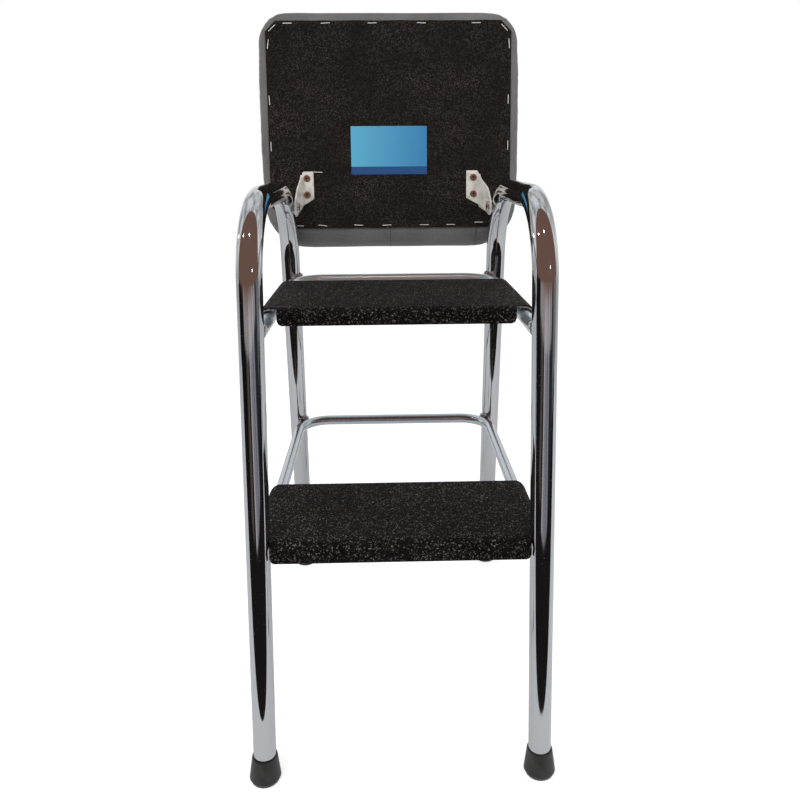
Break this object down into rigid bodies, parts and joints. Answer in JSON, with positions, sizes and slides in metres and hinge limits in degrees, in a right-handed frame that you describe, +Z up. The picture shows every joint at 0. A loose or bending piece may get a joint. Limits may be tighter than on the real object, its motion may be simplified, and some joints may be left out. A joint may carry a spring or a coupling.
{
  "type": "folding step stool chair",
  "caption": "Chromed tube step stool with gritty treads on round rails and a padded seat that flips up behind the steps or folds down into a chair seat.",
  "frame": {"origin": "centre of the underside of the bounding box, on the floor", "axes": "+Z up; +X across the stool, along the seat hinge; +Y towards the back, where the seat stands"},
  "size_m": [0.307, 0.4358, 0.7391],
  "materials": {
    "chrome_tube": "polished",
    "chrome_rail": "dulled",
    "zinc_hardware": "satin",
    "cream_bracket": "satin",
    "bronzed_screw": "satin",
    "black_rubber": "matte",
    "black_pan": "satin",
    "grit_mat": "gritty",
    "grey_vinyl": "satin",
    "foam": "matte",
    "plywood": "matte",
    "black_cambric": "matte",
    "staple_wire": "bright",
    "blue_card": "satin"
  },
  "bodies": {
    "frame": {"side_frame_left": "chrome_tube", "hinge_spacer_left": "zinc_hardware", "hinge_pin_left": "zinc_hardware", "foot_ferrule_front_left": "black_rubber", "foot_ferrule_rear_left": "black_rubber", "side_frame_right": "chrome_tube", "hinge_spacer_right": "zinc_hardware", "hinge_pin_right": "zinc_hardware", "foot_ferrule_front_right": "black_rubber", "foot_ferrule_rear_right": "black_rubber", "lower_step_rail": "chrome_rail", "lower_rail_welds": "chrome_rail", "lower_tread_pan": "black_pan", "lower_tread_mat": "grit_mat", "upper_step_rail": "chrome_rail", "upper_rail_welds": "chrome_rail", "upper_tread_pan": "black_pan", "upper_tread_mat": "grit_mat"},
    "seat": {"hinge_bracket_left": "cream_bracket", "bracket_screws_left": "bronzed_screw", "hinge_bracket_right": "cream_bracket", "bracket_screws_right": "bronzed_screw", "seat_cover": "grey_vinyl", "seat_foam": "foam", "seat_board": "plywood", "dust_cover": "black_cambric", "dust_cover_staples": "staple_wire", "label_card": "blue_card"}
  },
  "joints": [
    {"name": "seat_hinge", "type": "hinge", "parent": "frame", "child": "seat", "pos_m": [0, 0.09068, 0.527], "axis": [1, 0, 0], "range_deg": [0, 105]}
  ]
}
